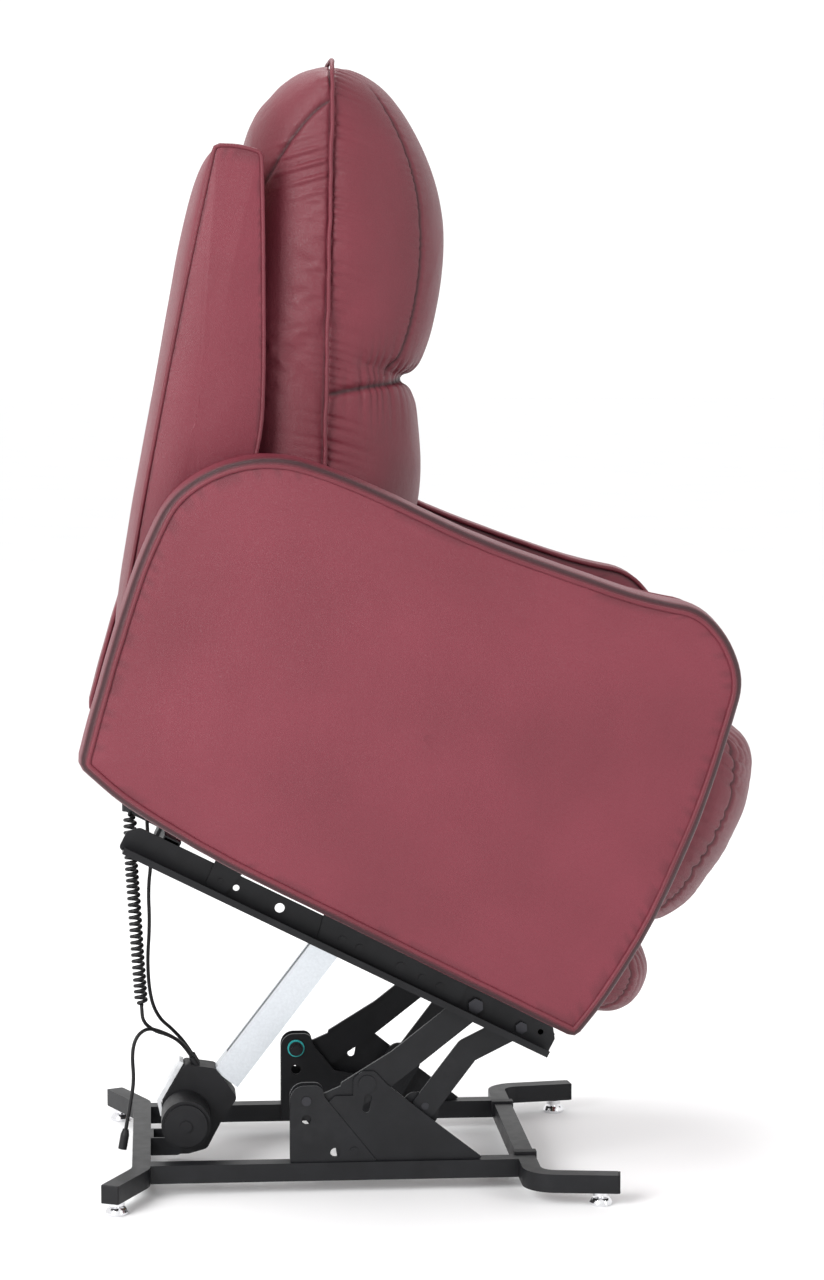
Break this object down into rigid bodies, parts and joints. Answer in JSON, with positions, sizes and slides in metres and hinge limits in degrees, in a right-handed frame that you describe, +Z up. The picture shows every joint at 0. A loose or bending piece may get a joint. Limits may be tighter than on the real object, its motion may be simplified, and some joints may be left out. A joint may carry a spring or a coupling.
{
  "type": "lift recliner chair",
  "caption": "Padded lift recliner chair in its raised position: the seat tips forward on a black steel lift frame, with motor, backrest, footrest and hanging cords",
  "frame": {"origin": "floor level, centred under the raised chair's bounding box", "axes": "+X the way the sitter faces, +Y the sitter's left, +Z up"},
  "size_m": [0.9274, 0.786, 1.5361],
  "materials": {
    "black_steel": "satin black powder coat",
    "dark_fastener_steel": "blackened fasteners",
    "black_plastic": "fine grain",
    "grey_plastic": "smooth",
    "teal_plastic": "smooth",
    "chromed_feet": "bright",
    "aluminium_profile": "anodised, drawn",
    "bright_spindle_steel": "bright steel",
    "frame_wood": "plain timber and board",
    "burgundy_leather": "soft grained leather, semi-matt",
    "black_cable": "smooth cable sheath",
    "button_grey": "soft touch"
  },
  "bodies": {
    "base": {"actuator_clevis": "black_steel", "crossbar_end_caps": "black_plastic", "floor_rails": "black_steel", "front_crossbar": "black_steel", "handset_cord_coil": "black_cable", "handset_cord_tail": "black_cable", "levelling_feet": "chromed_feet", "lift_brackets": "black_steel", "lift_gussets": "black_steel", "lift_pivot_bolts": "dark_fastener_steel", "pivot_bushes": "teal_plastic", "crossbar_clips": "black_plastic", "rear_crossbar": "black_steel", "recline_cable": "black_cable", "supply_connector": "black_plastic", "supply_lead": "black_cable"},
    "lift_arms": {"lift_arms": "black_steel"},
    "front_links": {"front_links": "black_steel"},
    "lift_actuator": {"gearbox_side_strip": "grey_plastic", "lift_gearbox": "black_plastic", "lift_guide_profile": "aluminium_profile", "lift_motor": "black_plastic", "lift_spindle": "bright_spindle_steel", "motor_plugs": "black_plastic"},
    "drive_block": {"drive_block": "black_steel"},
    "seat_frame": {"arm_brackets": "black_steel", "arm_left": "burgundy_leather", "arm_right": "burgundy_leather", "cable_bracket": "black_steel", "drive_cross_tube": "black_steel", "handset_shell": "black_plastic", "recline_actuator": "black_plastic", "recline_hanger_tube": "black_steel", "seat_box_ends": "frame_wood", "seat_box_sides": "frame_wood", "seat_cross_members": "black_steel", "seat_cushion": "burgundy_leather", "seat_pivot_bolts": "dark_fastener_steel", "seat_rails": "black_steel", "seat_springs": "bright_spindle_steel", "side_plates": "black_steel"},
    "backrest": {"back_rails": "frame_wood", "back_uprights": "frame_wood", "back_hinge_plates": "black_steel", "back_lumbar_cushion": "burgundy_leather", "back_pillow": "burgundy_leather", "back_rear_panel": "burgundy_leather", "back_wing_left": "burgundy_leather", "back_wing_right": "burgundy_leather", "recline_torque_tube": "black_steel"},
    "recline_rod": {"recline_rod": "bright_spindle_steel"},
    "legrest_links": {"legrest_links": "black_steel"},
    "legrest_board": {"legrest_board": "frame_wood", "legrest_brackets": "black_steel", "legrest_calf_pad": "burgundy_leather", "legrest_foot_pad": "burgundy_leather"},
    "button_raise": {"handset_button_raise": "button_grey"},
    "button_lower": {"handset_button_lower": "button_grey"},
    "button_recline": {"handset_button_recline": "button_grey"},
    "button_legrest": {"handset_button_legrest": "button_grey"}
  },
  "joints": [
    {"name": "lift", "type": "hinge", "parent": "base", "child": "lift_arms", "pos_m": [-0.1674, 0, 0.128], "axis": [0, 1, 0], "range_deg": [0, 42], "deforming": ["handset_cord_coil", "handset_cord_tail", "recline_cable", "supply_lead"]},
    {"name": "seat_tilt", "type": "hinge", "parent": "lift_arms", "child": "seat_frame", "pos_m": [0.0626, 0, 0.258], "axis": [0, -1, 0], "range_deg": [0, 68.6]},
    {"name": "front_link_swing", "type": "hinge", "parent": "base", "child": "front_links", "pos_m": [-0.0044, 0, 0.115], "axis": [0, 1, 0], "range_deg": [0, 55.8]},
    {"name": "actuator_swing", "type": "hinge", "parent": "base", "child": "lift_actuator", "pos_m": [-0.3454, 0, 0.03], "axis": [0, 1, 0], "range_deg": [0, 24.1]},
    {"name": "drive_block_slide", "type": "slide", "parent": "lift_actuator", "child": "drive_block", "axis": [-0.6101, 0, -0.7923], "range_m": [0, 0.195]},
    {"name": "recline", "type": "hinge", "parent": "seat_frame", "child": "backrest", "pos_m": [-0.25015, 0, 0.75013], "axis": [0, -1, 0], "range_deg": [0, 35]},
    {"name": "recline_rod_slide", "type": "slide", "parent": "seat_frame", "child": "recline_rod", "axis": [0.8942, 0, -0.4478], "range_m": [0, 0.0425]},
    {"name": "legrest", "type": "hinge", "parent": "seat_frame", "child": "legrest_links", "pos_m": [0.1919, 0, 0.3543], "axis": [0, 1, 0], "range_deg": [0, 55.9]},
    {"name": "legrest_board_turn", "type": "hinge", "parent": "legrest_links", "child": "legrest_board", "pos_m": [0.27745, 0, 0.56421], "axis": [0, -1, 0], "range_deg": [0, 146]},
    {"name": "press_lower", "type": "slide", "parent": "seat_frame", "child": "button_lower", "axis": [0, -1, 0], "range_m": [0, 0.0015], "stiffness_N_per_m": 300},
    {"name": "press_raise", "type": "slide", "parent": "seat_frame", "child": "button_raise", "axis": [0, -1, 0], "range_m": [0, 0.0015], "stiffness_N_per_m": 300},
    {"name": "press_recline", "type": "slide", "parent": "seat_frame", "child": "button_recline", "axis": [0, -1, 0], "range_m": [0, 0.0015], "stiffness_N_per_m": 300},
    {"name": "press_legrest", "type": "slide", "parent": "seat_frame", "child": "button_legrest", "axis": [0, -1, 0], "range_m": [0, 0.0015], "stiffness_N_per_m": 300}
  ],
  "couplings": [
    {"joint": "seat_tilt", "follows": "lift", "ratio": 1.6333},
    {"joint": "front_link_swing", "follows": "lift", "ratio": 1.3281},
    {"joint": "actuator_swing", "follows": "lift", "ratio": 0.57243},
    {"joint": "drive_block_slide", "follows": "lift", "m_per_rad": 0.26572},
    {"joint": "recline_rod_slide", "follows": "recline", "m_per_rad": 0.068919},
    {"joint": "legrest_board_turn", "follows": "legrest", "ratio": 2.61}
  ]
}
